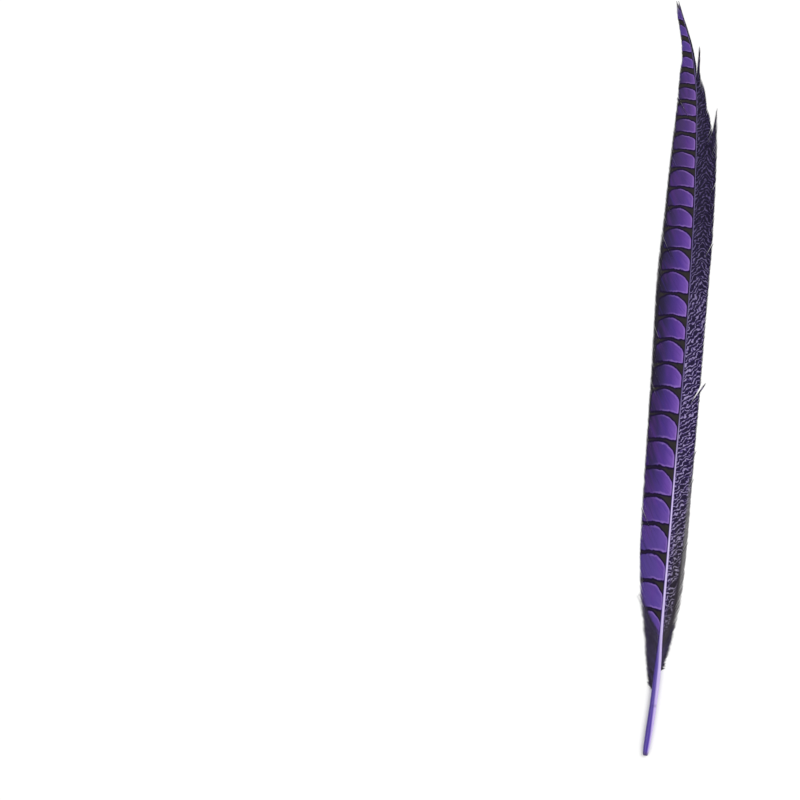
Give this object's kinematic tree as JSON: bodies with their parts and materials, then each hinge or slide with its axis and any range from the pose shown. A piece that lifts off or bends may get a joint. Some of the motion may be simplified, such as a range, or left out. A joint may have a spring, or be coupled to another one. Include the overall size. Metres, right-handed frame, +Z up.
{
  "type": "pheasant tail feather",
  "caption": "Long sabre-curved pheasant tail feather, dyed violet, barred on its wide vane and mottled on its narrow one, lying flat.",
  "frame": {"origin": "middle of the footprint, on the surface that the feather lies on", "axes": "+Y from the cut quill end towards the tip, +Z up out of the face that shows on the bird, +X towards the narrow vane"},
  "size_m": [0.0542, 0.5262, 0.0042],
  "materials": {
    "horn": "glossy horn, dyed violet, deep on one flank and pale lavender along the top",
    "barred_web": "satin feather web, dyed violet, with near-black cross bars",
    "mottled_web": "satin feather web, near-black navy with pale lavender worm-like lines",
    "down": "soft loose barbs, charcoal with a violet cast"
  },
  "bodies": {
    "root": {"shaft": "horn", "outer_vane": "barred_web", "inner_vane": "mottled_web", "outer_down": "down", "inner_down": "down"}
  },
  "joints": []
}
